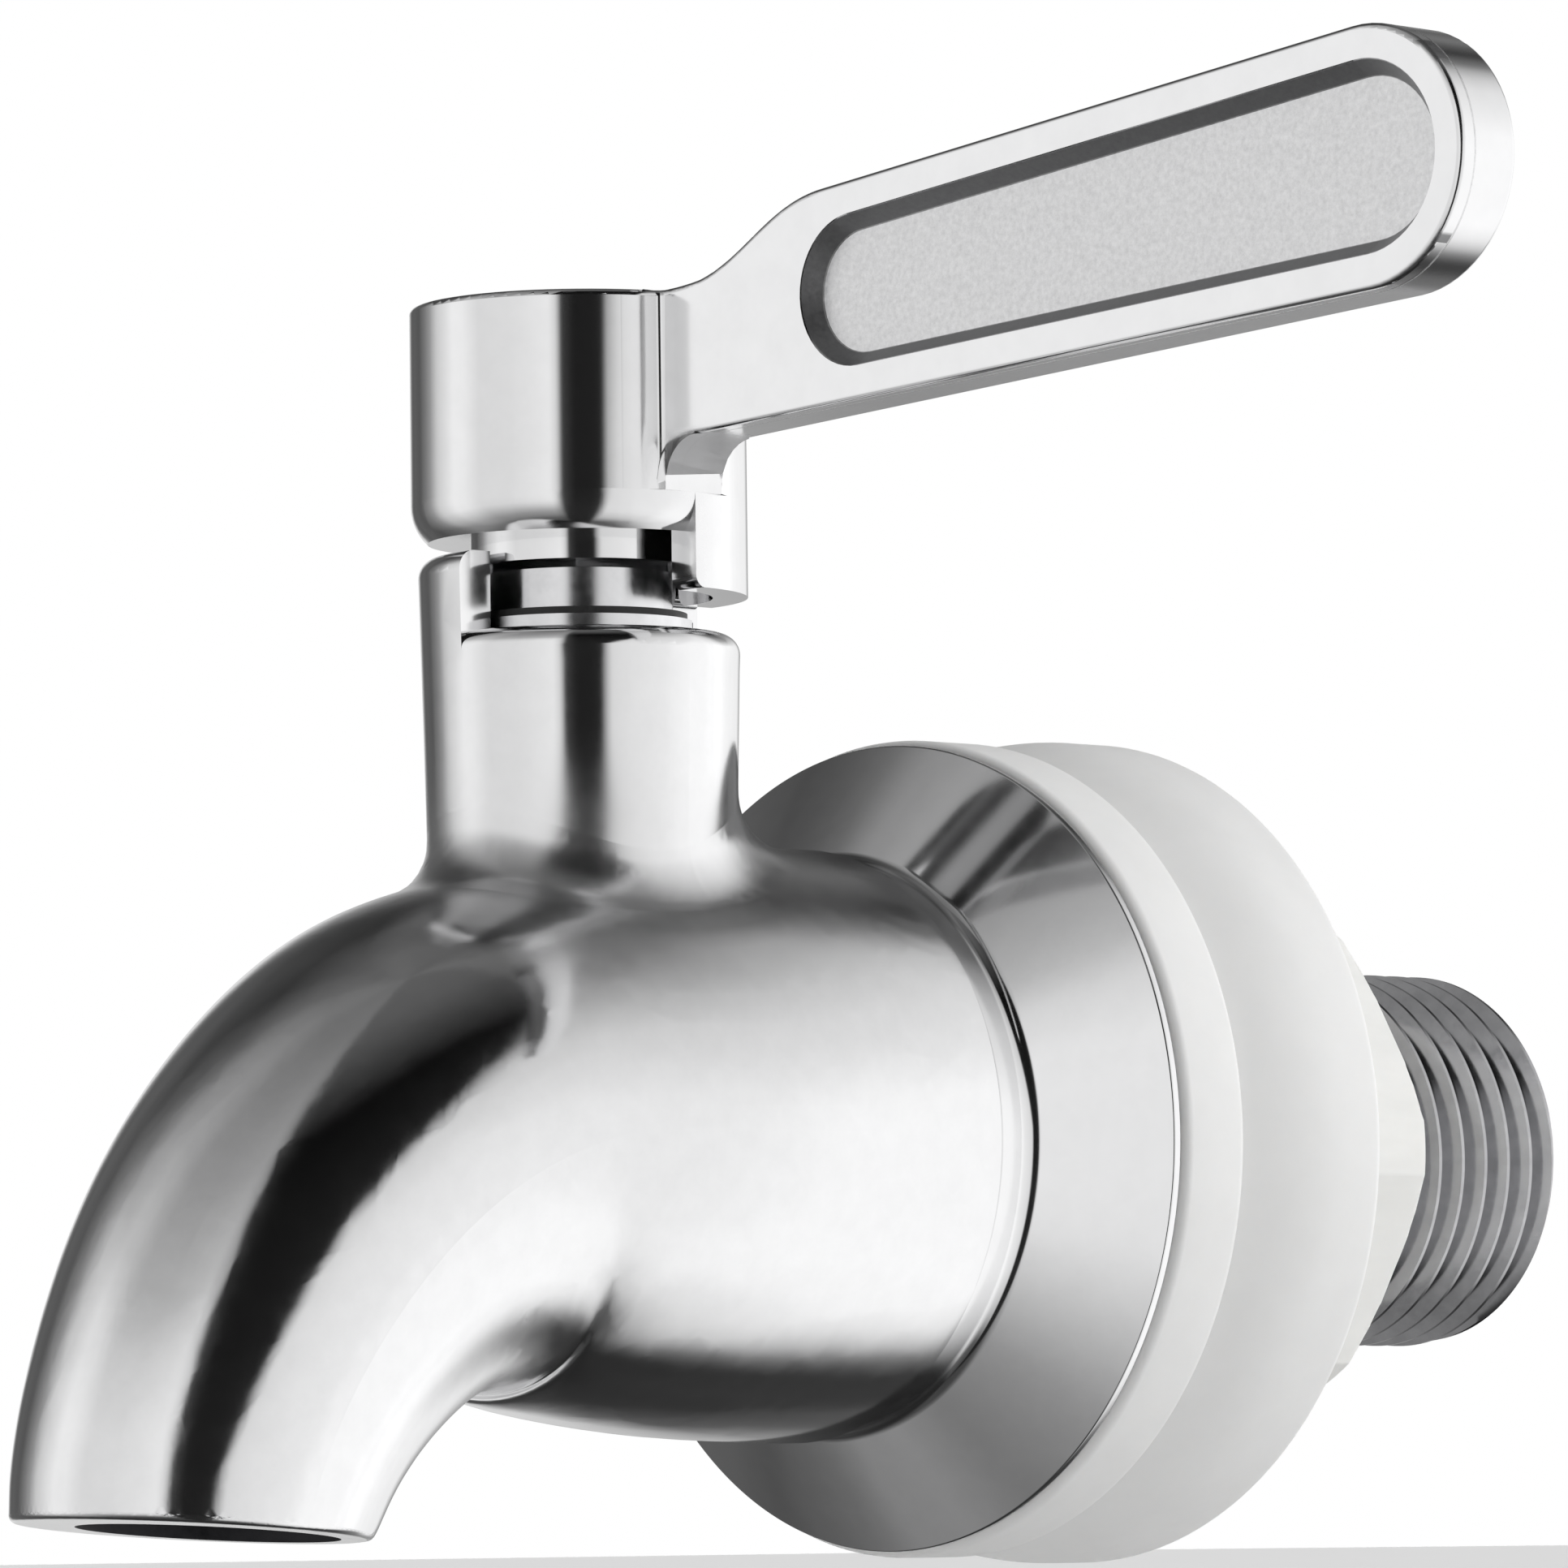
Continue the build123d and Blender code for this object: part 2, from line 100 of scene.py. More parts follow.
def face_outwards(obj, sharp=35):
    """Merges doubled points, turns the faces outwards and marks the creases."""
    bm = bmesh.new()
    bm.from_mesh(obj.data)
    bmesh.ops.remove_doubles(bm, verts=bm.verts, dist=weld)
    bmesh.ops.recalc_face_normals(bm, faces=bm.faces)
    bm.to_mesh(obj.data)
    bm.free()
    obj.data.polygons.foreach_set("use_smooth", [True] * len(obj.data.polygons))
    obj.data.set_sharp_from_angle(angle=radians(sharp))


def rounded(corners, steps=6):
    """A closed section from corners (along, radius, rounding), each arc in a few steps."""
    line = []
    for i, (x, y, r) in enumerate(corners):
        if not r:
            line.append((x, y))
            continue
        here = Vector((x, y))
        before = Vector(corners[i - 1][:2]) - here
        after = Vector(corners[(i + 1) % len(corners)][:2]) - here
        half = before.angle(after) / 2
        reach = r / tan(half)
        a, b = before.normalized(), after.normalized()
        centre = here + (a + b).normalized() * (r / sin(half))
        start, end = here + a * reach - centre, here + b * reach - centre
        swing = atan2(start.x * end.y - start.y * end.x, start.dot(end))
        for k in range(steps + 1):
            angle = swing * k / steps
            line.append((
                centre.x + start.x * cos(angle) - start.y * sin(angle),
                centre.y + start.x * sin(angle) + start.y * cos(angle),
            ))
    return line


def bridge(first, second, count):
    """Faces between two rings of points, given by each ring's first point."""
    return [
        (first + k, first + (k + 1) % count, second + (k + 1) % count, second + k)
        for k in range(count)
    ]


def turned(name, section, count=192):
    """A closed section (along, radius) turned about the shank's axis."""
    points, faces, n = [], [], len(section)
    for k in range(count):
        angle = 2 * pi * k / count
        points += [(r * cos(angle), y, r * sin(angle)) for y, r in section]
        faces += bridge(k * n, (k + 1) % count * n, n)
    return add_mesh(name, points, faces)


def refine(mesh, wanted):
    """Splits the wanted faces in four, with new points on the curve that their directions give."""
    same_way = 0.9999
    aims = [corner.vector.copy() for corner in mesh.corner_normals]
    points = [vertex.co.copy() for vertex in mesh.vertices]
    corners = [corner.vertex_index for corner in mesh.loops]
    sides = {}
    for face in mesh.polygons:
        loops = list(face.loop_indices)
        for i, j in zip(loops, loops[1:] + loops[:1]):
            a, b = corners[i], corners[j]
            side = sides.setdefault((min(a, b), max(a, b)), [False, []])
            side[0] = side[0] or wanted(face)
            side[1].append((aims[i], aims[j]) if a < b else (aims[j], aims[i]))
    middles = {}
    for (a, b), (chosen, ends) in sides.items():
        if chosen:
            along = points[b] - points[a]
            middle = (points[a] + points[b]) / 2
            first, last = ends[0]
            if all(first.dot(e[0]) > same_way and last.dot(e[1]) > same_way for e in ends):
                middle -= (first * along.dot(first) - last * along.dot(last)) / 8
            middles[a, b] = len(points)
            points.append(middle)
    faces, face_aims, materials = [], [], []
    for face in mesh.polygons:
        loops = list(face.loop_indices)
        outline = []
        for i, j in zip(loops, loops[1:] + loops[:1]):
            a, b = corners[i], corners[j]
            outline.append((a, aims[i]))
            halfway = middles.get((min(a, b), max(a, b)))
            if halfway is not None:
                along = points[b] - points[a]
                run = along * 4 + aims[i] * along.dot(aims[i]) + aims[j] * along.dot(aims[j])
                both = aims[i] + aims[j]
                aim = both - run * (run.dot(both) / run.dot(run))
                outline.append((halfway, aim.normalized()))
        if len(loops) == 3 and len(outline) == 6:
            pieces = [(0, 1, 5), (1, 2, 3), (5, 3, 4), (1, 3, 5)]
        elif len(loops) == 3 and len(outline) > 3:
            # The outline turns until its second point is a new one and its last is an old one
            while outline[1][0] < len(mesh.vertices) or outline[-1][0] >= len(mesh.vertices):
                outline = outline[1:] + outline[:1]
            pieces = [(1, 2, len(outline) - 1), (0, 1, len(outline) - 1)]
            if len(outline) == 5:
                pieces = [(1, 2, 3), (0, 1, 3), (0, 3, 4)]
        else:
            pieces = [range(len(outline))]
        for corner_set in pieces:
            faces.append([outline[k][0] for k in corner_set])
            face_aims += [outline[k][1] for k in corner_set]
            materials.append(face.material_index)
    mesh.clear_geometry()
    mesh.from_pydata(points, [], faces)
    mesh.polygons.foreach_set("use_smooth", [True] * len(faces))
    mesh.polygons.foreach_set("material_index", materials)
    mesh.normals_split_custom_set(face_aims)


def cut_square(bm, y, keep_before):
    """Cuts the mesh square to the shank at y, and gives the edges of the open rim."""
    done = bmesh.ops.bisect_plane(
        bm,
        geom=bm.verts[:] + bm.edges[:] + bm.faces[:],
        plane_co=(0, y * MM, 0),
        plane_no=(0, 1 if keep_before else -1, 0),
        clear_outer=True,
    )
    return [edge for edge in done["geom_cut"] if isinstance(edge, bmesh.types.BMEdge)]


def piece(obj, body, slot, *replaced):
    """Puts a made piece on its body, in place of its solids. The slot is not used."""
    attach(obj, body)
    if replaced:
        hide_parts(*replaced)


# Camera, fitted to the photograph: it looks at the neck's axis, seen at this pixel
azimuth, elevation, roll = radians(47.501), radians(-2.311), radians(-0.626)
focal_px, distance, image_px, sensor_mm = 12031.85, 387.74, 1932.0, 36
seen_px = (721.61, 1405.15)
back = Vector((sin(azimuth) * cos(elevation), -cos(azimuth) * cos(elevation), sin(elevation)))
right = Vector((cos(azimuth), sin(azimuth), 0))
up = back.cross(right)
right, up = right * cos(roll) + up * sin(roll), up * cos(roll) - right * sin(roll)
base = Matrix((right, up, back)).transposed()
aim = Vector((seen_px[0] - image_px / 2, image_px / 2 - seen_px[1], -focal_px)).normalized()
turn = (base @ aim).rotation_difference(-back)
camera_data = bpy.data.cameras.new("camera")
camera_data.sensor_width = sensor_mm
camera_data.lens = focal_px / image_px * sensor_mm
camera_data.clip_start = 0.01
camera_data.clip_end = 50
camera = placed("camera", camera_data)
camera.matrix_world = Matrix.Translation(
    (Vector((0, neck_y, 0)) + back * distance) * MM
) @ (turn.to_matrix() @ base).to_4x4()
bpy.context.scene.camera = camera

# Casting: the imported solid's own faces, up to the cut inside the nut
solid = nodes["body"].data
corner_tree = kdtree.KDTree(len(solid.loops))
corner_faces, corner_aims = [], []
for face in solid.polygons:
    for i in face.loop_indices:
        corner_tree.insert(solid.vertices[solid.loops[i].vertex_index].co, len(corner_faces))
        corner_faces.append(face.normal.copy())
        corner_aims.append(solid.corner_normals[i].vector.copy())
corner_tree.balance()


def keep_true_shading(mesh):
    """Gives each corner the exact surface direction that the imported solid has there."""
    aims = []
    for face in mesh.polygons:
        for i in face.loop_indices:
            co = mesh.vertices[mesh.loops[i].vertex_index].co
            near = corner_tree.find_range(co, same_place)
            if near:
                k = max(near, key=lambda found: corner_faces[found[1]].dot(face.normal))[1]
                matches = corner_faces[k].dot(face.normal) > 0.7
                aims.append(corner_aims[k] if matches else face.normal)
            else:
                across = Vector((co.x, 0, co.z)).normalized()
                aims.append(across if across.dot(face.normal) > 0.5 else face.normal)
    mesh.normals_split_custom_set(aims)


casting_mesh = solid.copy()
casting = placed("tap_casting", casting_mesh)
bm = bmesh.new()
bm.from_mesh(casting_mesh)
bmesh.ops.remove_doubles(bm, verts=bm.verts, dist=weld)
bmesh.ops.triangle_fill(bm, edges=cut_square(bm, cut_y, True), use_beauty=True)
bm.to_mesh(casting_mesh)
bm.free()
face_outwards(casting, 28)
keep_true_shading(casting_mesh)
piece(casting, "tap", "polished_steel", "body")


# Handle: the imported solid, with the round between hub and lever drawn as tight as it is seen
def root_round(radius):
    """The round's centre beside the lever, and the direction it faces where it leaves the hub."""
    beside = lever_half + radius
    along = sqrt((hub_r + radius) ** 2 - beside**2)
    return along, beside, atan2(along, beside)


wide_x, wide_y, wide_turn = root_round(solid_round)
tight_x, tight_y, tight_turn = root_round(drawn_round)
hub_share, lever_share = 0.35, 0.65


def drawn_root(share):
    """Place and direction on the drawn outline, from share 0 on the hub to 1 on the lever."""
    if share < hub_share:
        facing = wide_turn + (tight_turn - wide_turn) * share / hub_share
        return hub_r * sin(facing), hub_r * cos(facing), facing
    if share < lever_share:
        facing = tight_turn * (lever_share - share) / (lever_share - hub_share)
        return tight_x - drawn_round * sin(facing), tight_y - drawn_round * cos(facing), facing
    along_lever = (share - lever_share) / (1 - lever_share)
    return tight_x + (wide_x - tight_x) * along_lever, lever_half, 0.0


def on_solid_round(x, y, z, reach, facing):
    """Whether a point lies on the solid's root round, but not where that meets the hub."""
    near_round = solid_round - 0.02 < reach < solid_round + 0.3
    on_hub = abs(hypot(x, y) - hub_r) < 0.005
    return z >= foot_top - 0.01 and near_round and 0 < facing < wide_turn - 0.002 and not on_hub


handle_mesh = nodes["handle"].data.copy()
handle_aims = [corner.vector.copy() for corner in handle_mesh.corner_normals]
turned_from = {}
for vertex in handle_mesh.vertices:
    x, y, z = vertex.co.x / MM, abs(vertex.co.y / MM - neck_y), vertex.co.z / MM
    side = 1 if vertex.co.y / MM > neck_y else -1
    reach, facing = hypot(wide_x - x, wide_y - y), atan2(wide_x - x, wide_y - y)
    if not on_solid_round(x, y, z, reach, facing):
        continue
    new_x, new_y, new_facing = drawn_root(1 - facing / wide_turn)
    new_x -= (reach - solid_round) * sin(new_facing)
    new_y -= (reach - solid_round) * cos(new_facing)
    # Points on the round under the lever's root stay on that round
    under = under_z + sqrt(max(0, under_r**2 - (x - under_x) ** 2))
    if hub_r - 0.002 < x < under_x - 0.1 and z < under + 0.02:
        new_x = max(new_x, hub_r)
        new_y = tight_y - sqrt(max(0, drawn_round**2 - max(0, tight_x - new_x) ** 2))
        if new_x > hub_r:
            z = under_z + sqrt(under_r**2 - (new_x - under_x) ** 2)
    vertex.co = Vector((new_x, neck_y + side * new_y, z)) * MM
    turned_from[vertex.index] = (facing, new_facing, side)
for corner in handle_mesh.loops:
    if corner.vertex_index in turned_from:
        facing, new_facing, side = turned_from[corner.vertex_index]
        aim = handle_aims[corner.index]
        level = hypot(aim.x, aim.y)
        if aim.x * sin(facing) + aim.y * side * cos(facing) > 0.98 * level > 0.05:
            aim.x, aim.y = level * sin(new_facing), side * level * cos(new_facing)
handle_mesh.normals_split_custom_set(handle_aims)
handle = placed("tap_handle", handle_mesh)
piece(handle, "lever", "satin_steel", "handle")

# Cut thread: one profile from crest to crest, wound along the shank from inside the nut
crest_share, flank_share, flank_depth = 0.0625, 0.38, 0.9
columns = [0, 0.0625, 0.14, 0.22, 0.3, 0.38, 0.43, 0.5, 0.57, 0.62, 0.7, 0.78, 0.86, 0.9375]
depth_at = {0.38: 0.9, 0.43: 0.985, 0.5: 1.0, 0.57: 0.985, 0.62: 0.9}
around = 144


def thread_radius(share):
    """The thread's radius at this share of one pitch, from one crest to the next."""
    share = round(share, 4)
    fall = depth_at.get(share)
    if fall is None:
        near = min(share, 1 - share)
        fall = max(0.0, (near - crest_share) / (flank_share - crest_share)) * flank_depth
    return thread_crest - (thread_crest - thread_root) * fall


first_y = cut_y - 2 * thread_pitch
turns_made = int((shank_end - first_y) / thread_pitch) + 3
rows = turns_made * len(columns)
stride = rows + len(columns)
lattice, faces = [], []
for a in range(around):
    angle = 2 * pi * a / around
    for k in range(stride):
        share = columns[k % len(columns)]
        y = first_y + thread_pitch * (k // len(columns) + share - 1 + a / around)
        r = min(thread_radius(share), thread_crest - (y - shank_end + shank_chamfer))
        lattice.append((r * cos(angle), y, -r * sin(angle)))
for a in range(around):
    shift = len(columns) if a == around - 1 else 0
    for k in range(rows):
        here, there = a * stride + k, (a + 1) % around * stride + k + shift
        if k + 1 + shift < stride:
            faces.append((here, here + 1, there + 1, there))
thread = add_mesh("shank_thread", lattice, faces, 30)
bm = bmesh.new()
bm.from_mesh(thread.data)
for y, keep_before in ((cut_y, False), (shank_end, True)):
    rim = cut_square(bm, y, keep_before)
    ring = [
        bm.verts.new(Vector((bore_r * cos(t), y, bore_r * sin(t))) * MM)
        for t in (2 * pi * k / around for k in range(around))
    ]
    inner = [bm.edges.new((ring[k - 1], ring[k])) for k in range(around)]
    bmesh.ops.triangle_fill(bm, edges=rim + inner, use_beauty=True)
    if keep_before:
        for k in range(around):
            bm.faces.new((start_ring[k - 1], start_ring[k], ring[k], ring[k - 1]))
    start_ring = ring
bm.to_mesh(thread.data)
bm.free()
face_outwards(thread, 30)
piece(thread, "tap", "polished_steel")

# Turned and moulded rings on the shank
escutcheon = turned("escutcheon_cone", rounded([
    (barrel_end, shank_hole, 0),
    (barrel_end, cone_neck_r, 0.15),
    (cone_neck_end, cone_neck_r, 0.9),
    (cone_rim_start, cone_rim_r, 0.12),
    (washer_front, cone_rim_r, 0.12),
    (washer_front, dish_rim_r, 0.1),
    (dish_floor_y, dish_floor_r, 0.4),
    (dish_floor_y, shank_hole, 0),
], 8), 256)
piece(escutcheon, "tap", "polished_steel", "escutcheon")

washer = turned("wall_washer", rounded([
    (washer_front, shank_hole, 0),
    (washer_front, washer_r, 0.45),
    (0, washer_r, 0.45),
    (0, shank_hole, 0),
]))
piece(washer, "tap", "white_silicone", "front_washer")

dome_widening = dome_top_r - dome_foot_r
dome_radius = (dome_rise**2 + dome_widening**2) / (2 * dome_widening)
dome = []
for k in range(17):
    along = dome_rise * k / 16
    dome.append((along, dome_top_r - dome_radius + sqrt(dome_radius**2 - (dome_rise - along) ** 2)))
gasket = turned("inner_gasket", rounded(
    [(0, shank_hole, 0), (*dome[0], 0.3)]
    + [(y, r, 0) for y, r in dome[2:]]
    + [(gasket_rear, dome_top_r, 0.5), (gasket_rear, shank_hole, 0.2)]
))
piece(gasket, "tap", "white_silicone", "rear_gasket")


# Lock nut: hexagon, corners turned off at both ends, and a countersunk thread
def hex_radius(angle):
    """The hexagon's radius in this direction."""
    near = (angle + pi / 6) % (pi / 3) - pi / 6
    return nut_flat_r / cos(near)


def turned_limit(y):
    """How far the turned ends let the nut's corners reach at this place."""
    edge = min(y - gasket_rear, nut_rear - y)
    return nut_flat_r + nut_face_step + edge / tan(radians(30))


insets = [0, 0.06, 0.15, 0.25, 0.35, 0.45, 0.55, 0.7, 1.0, 3.0]
stations = [gasket_rear + s for s in insets] + [nut_rear - s for s in reversed(insets)]
side_shares = (0, 0.02, 0.05, 0.1, 0.16, 0.25, 0.35, 0.5, 0.65, 0.75, 0.84, 0.9, 0.95, 0.98)
angles = [(side + share) * pi / 3 - pi / 6 for side in range(6) for share in side_shares]
corners_round = len(angles)
points, faces = [], []
for y in stations:
    for t in angles:
        r = min(hex_radius(t), turned_limit(y), nut_corner_r)
        points.append((r * sin(t), y, r * cos(t)))
for j in range(len(stations) - 1):
    faces += bridge(j * corners_round, (j + 1) * corners_round, corners_round)
last = 0
for y, r in (
    (gasket_rear, countersink_r),
    (gasket_rear + countersink_depth, nut_bore_r),
    (nut_rear - countersink_depth, nut_bore_r),
    (nut_rear, countersink_r),
):
    start = len(points)
    points += [(r * sin(t), y, r * cos(t)) for t in angles]
    faces += bridge(last, start, corners_round)
    last = start
faces += bridge(last, (len(stations) - 1) * corners_round, corners_round)
nut = add_mesh("nylon_nut", points, faces, 20)
edge = nut.modifiers.new("edge", "BEVEL")
edge.width = 0.12 * MM
edge.segments = 2
edge.limit_method = "ANGLE"
edge.angle_limit = radians(24)
piece(nut, "tap", "white_nylon", "lock_nut")


# Materials. Most of a noise's values lie between these two
noise_low, noise_high = 0.3, 0.7


def feed(tree, socket, value):
    """Joins a socket to another node's output, or sets its value."""
    if isinstance(value, bpy.types.NodeSocket):
        tree.links.new(value, socket)
    else:
        socket.default_value = value


class Shader:
    """A principled material whose nodes are joined by short calls."""

    def __init__(self, name, **values):
        self.material = bpy.data.materials.new(name)
        self.material.use_nodes = True
        self.tree = self.material.node_tree
        self.shader = self.tree.nodes["Principled BSDF"]
        for socket, value in values.items():
            self.shader.inputs[socket.replace("_", " ")].default_value = value
        self.place = self.tree.nodes.new("ShaderNodeTexCoord").outputs["Object"]

    def node(self, kind, settings=None, **links):
        """A node with its inputs given by name, or by number after an underscore."""
        made = self.tree.nodes.new("ShaderNode" + kind)
        for key, value in (settings or {}).items():
            setattr(made, key, value)
        for socket, value in links.items():
            key = int(socket[1:]) if socket[0] == "_" else socket.replace("_", " ")
            feed(self.tree, made.inputs[key], value)
        return made

    def math(self, operation, *values):
        """The result of one calculation."""
        links = {f"_{i}": value for i, value in enumerate(values)}
        return self.node("Math", {"operation": operation}, **links).outputs[0]

    def both(self, first, second):
        """Where two masks overlap."""
        return self.math("MULTIPLY", first, second)

    def mix(self, share, low, high, kind="FLOAT"):
        """From low to high as share goes from 0 to 1."""
        made = self.node("Mix", {"data_type": kind}, Factor=share, A=low, B=high)
        return made.outputs["Result"]

    def noise(self, scale, detail=3, roughness=0.55, stretch=(1, 1, 1)):
        """Noise with its features about 1 / scale metres wide, stretched along an axis."""
        mapped = self.node("Mapping", Vector=self.place, Scale=stretch)
        return self.node(
            "TexNoise", Vector=mapped.outputs[0], Scale=scale, Detail=detail, Roughness=roughness
        ).outputs["Fac"]

    def ranged(self, value, low, high, from_low=noise_low, from_high=noise_high):
        """From low to high as a value goes through its own range, and level outside that."""
        made = self.node("MapRange", Value=value)
        made.inputs["From Min"].default_value = from_low
        made.inputs["From Max"].default_value = from_high
        made.inputs["To Min"].default_value = low
        made.inputs["To Max"].default_value = high
        return made.outputs[0]

    def above(self, value, start, full):
        """A mask that rises from 0 to 1 between two places in millimetres."""
        return self.ranged(value, 0.0, 1.0, start * MM, full * MM)

    def below(self, value, full, end):
        """A mask that falls from 1 to 0 between two places in millimetres."""
        return self.ranged(value, 1.0, 0.0, full * MM, end * MM)

    def colour(self, value, low, high):
        """From one colour to another as noise goes through its usual range."""
        ramp = self.node("ValToRGB", Fac=value)
        ends = zip(ramp.color_ramp.elements, (noise_low, noise_high), (low, high))
        for element, position, tone in ends:
            element.position = position
            element.color = (*tone, 1)
        return ramp.outputs[0]

    def far_from(self, spot, axes):
        """Distance from a spot in millimetres, along the given axes only."""
        flat = self.node("VectorMath", {"operation": "MULTIPLY"}, _0=self.place, _1=axes)
        spot = [place * axis * MM for place, axis in zip(spot, axes)]
        away = self.node("VectorMath", {"operation": "DISTANCE"}, _0=flat.outputs[0], _1=spot)
        return away.outputs["Value"]

    def bump(self, value, height_mm, strength, after=None):
        """Relief of this height, on top of an earlier one."""
        made = self.node("Bump", Height=value, Strength=strength, Distance=height_mm * MM)
        if after is not None:
            self.tree.links.new(after, made.inputs["Normal"])
        return made.outputs[0]

    def set(self, **links):
        """Joins the material's own inputs."""
        for socket, value in links.items():
            self.tree.links.new(value, self.shader.inputs[socket.replace("_", " ")])


def polished():
    """Bright cast steel: soft waves and hairlines, duller in the corners the wheel can't reach."""
    s = Shader("polished_steel", Metallic=1.0)
    waves = s.noise(90, 2, 0.5)
    haze = s.noise(900, 4, 0.6)
    lines = s.noise(2500, 2, 0.5, stretch=(1, 0.08, 1))
    level = s.node("SeparateXYZ", Vector=s.place).outputs["Z"]
    from_neck = s.far_from((0, neck_y, 0), (1, 1, 0))
    at_root_height = s.both(s.above(level, 4.5, 8.5), s.below(level, 12.5, 16))
    root = s.both(s.below(from_neck, 10, 14), at_root_height)
    hollow = s.below(s.far_from((0, -29.5, -12.5), (0, 1, 1)), 2.5, 6)
    dull = s.math("MAXIMUM", root, hollow)
    # Above a roughness of 0.27 the denoiser leaves ragged lines in what the steel mirrors
    s.set(
        Base_Color=s.colour(haze, (0.75, 0.75, 0.755), (0.78, 0.78, 0.785)),
        Roughness=s.mix(dull, s.ranged(haze, 0.085, 0.115), s.ranged(haze, 0.235, 0.26)),
        Normal=s.bump(lines, 0.0003, 0.3, s.bump(waves, 0.012, 0.15)),
    )
    return s.material


def rim_highlight_steel():
    """The mouth's rim: faced off, its colour painted brighter than the rest of the steel as a
    painted highlight, with fine rings left by the cut.
    """
    s = Shader("rim_highlight_steel", Metallic=1.0)
    haze = s.noise(900, 3, 0.6)
    s.set(
        Base_Color=s.colour(haze, (0.93, 0.93, 0.93), (0.97, 0.97, 0.97)),
        Roughness=s.ranged(haze, 0.22, 0.26),
        Normal=s.bump(haze, 0.002, 0.3),
    )
    return s.material


def channel_shade_steel():
    """The channel inside the casting: left as cast and dull, with its colour painted near black as
    painted shade inside it.
    """
    s = Shader("channel_shade_steel", Metallic=1.0)
    grain = s.noise(1800, 4, 0.65)
    s.set(
        Base_Color=s.colour(grain, (0.025, 0.025, 0.027), (0.05, 0.05, 0.053)),
        Roughness=s.ranged(grain, 0.45, 0.65),
        Normal=s.bump(grain, 0.02, 0.5),
    )
    return s.material


def thread_shaded_steel():
    """Cut thread: its colour painted darker than the polished steel as painted shade, with fine
    lines along the cut.
    """
    s = Shader("thread_shaded_steel", Metallic=1.0)
    haze = s.noise(1200, 3, 0.6)
    lines = s.noise(3000, 3, 0.6, stretch=(0.2, 1, 0.2))
    s.set(
        Base_Color=s.colour(haze, (0.37, 0.37, 0.38), (0.44, 0.44, 0.45)),
        Roughness=s.ranged(haze, 0.11, 0.17),
        Normal=s.bump(lines, 0.0008, 0.3),
    )
    return s.material


def turned_steel():
    """Turned steel: rings left by the tool."""
    s = Shader("turned_steel", Metallic=1.0)
    haze = s.noise(900, 3, 0.6)
    lines = s.noise(2600, 2, 0.5, stretch=(0.06, 0.06, 1))
    s.set(
        Base_Color=s.colour(haze, (0.66, 0.66, 0.67), (0.76, 0.76, 0.77)),
        Roughness=s.ranged(haze, 0.16, 0.26),
        Normal=s.bump(lines, 0.002, 0.4),
    )
    return s.material


def satin():
    """Handle: polished hub, lightly brushed lever, and a grained floor in its panel."""
    s = Shader("satin_steel", Metallic=1.0)
    haze = s.noise(700, 3, 0.6)
    grain = s.noise(4200, 5, 0.75)
    lines = s.noise(2600, 2, 0.5, stretch=(0.08, 1, 1))
    place = s.node("SeparateXYZ", Vector=s.place).outputs
    x, y, z = place["X"], place["Y"], place["Z"]
    lever = s.above(x, 6.5, 11.0)
    off_floor = s.math("ABSOLUTE", s.math("SUBTRACT", y, (neck_y - panel_floor) * MM))
    panel = s.both(lever, s.below(off_floor, 0.03, 0.06))
    # The recess's walls and the hollow under the root are as rough as the casting's skin, and the
    # walls' colour is painted dark as painted shade in the recess
    middle_z = s.math("MULTIPLY_ADD", x, lever_slope, lever_axis_z * MM)
    off_middle = s.math("ABSOLUTE", s.math("SUBTRACT", z, middle_z))
    half_height = s.math("MULTIPLY_ADD", x, lever_taper / lever_tip_x, panel_half * MM)
    within = s.math("LESS_THAN", off_middle, half_height)
    sunk = s.both(
        s.above(y, neck_y - lever_half + 0.03, neck_y - lever_half + 0.07),
        s.below(y, neck_y - panel_floor - 0.05, neck_y - panel_floor + 0.05),
    )
    span = s.both(lever, s.below(x, panel_end_x - 0.1, panel_end_x))
    wall = s.both(s.both(sunk, within), span)
    beside_hub = s.both(s.above(x, 6.4, 6.9), s.below(x, 8.6, 9.6))
    under_root = s.both(beside_hub, s.below(z, 27.3, 27.7))
    skin = s.math("MAXIMUM", wall, under_root)
    rough = s.mix(skin, s.mix(lever, 0.09, 0.13), s.ranged(grain, 0.38, 0.48))
    steel = s.colour(haze, (0.76, 0.76, 0.765), (0.79, 0.79, 0.795))
    # Painted shade: the recess walls are coloured far darker than the rest of the steel
    wall_painted_shade = s.colour(grain, (0.26, 0.26, 0.265), (0.34, 0.34, 0.345))
    panel_tone = s.colour(grain, (0.56, 0.56, 0.565), (0.8, 0.8, 0.805))
    s.set(
        Base_Color=s.mix(panel, s.mix(wall, steel, wall_painted_shade, "RGBA"), panel_tone, "RGBA"),
        Roughness=s.mix(panel, rough, s.ranged(grain, 0.3, 0.42)),
        Normal=s.bump(s.both(panel, grain), 0.012, 0.6, s.bump(lines, 0.0006, 0.3)),
    )
    return s.material


def silicone():
    """White silicone: soft gloss, a faint mould texture and a little light inside."""
    s = Shader(
        "white_silicone",
        Subsurface_Weight=0.1,
        Subsurface_Scale=0.001,
        Subsurface_Radius=(1.0, 0.9, 0.8),
    )
    haze = s.noise(400, 3, 0.6)
    fine = s.noise(3000, 3, 0.6)
    s.set(
        Base_Color=s.colour(haze, (0.83, 0.83, 0.825), (0.855, 0.855, 0.85)),
        Roughness=s.ranged(fine, 0.38, 0.5),
        Normal=s.bump(fine, 0.004, 0.3, s.bump(haze, 0.02, 0.25)),
    )
    return s.material


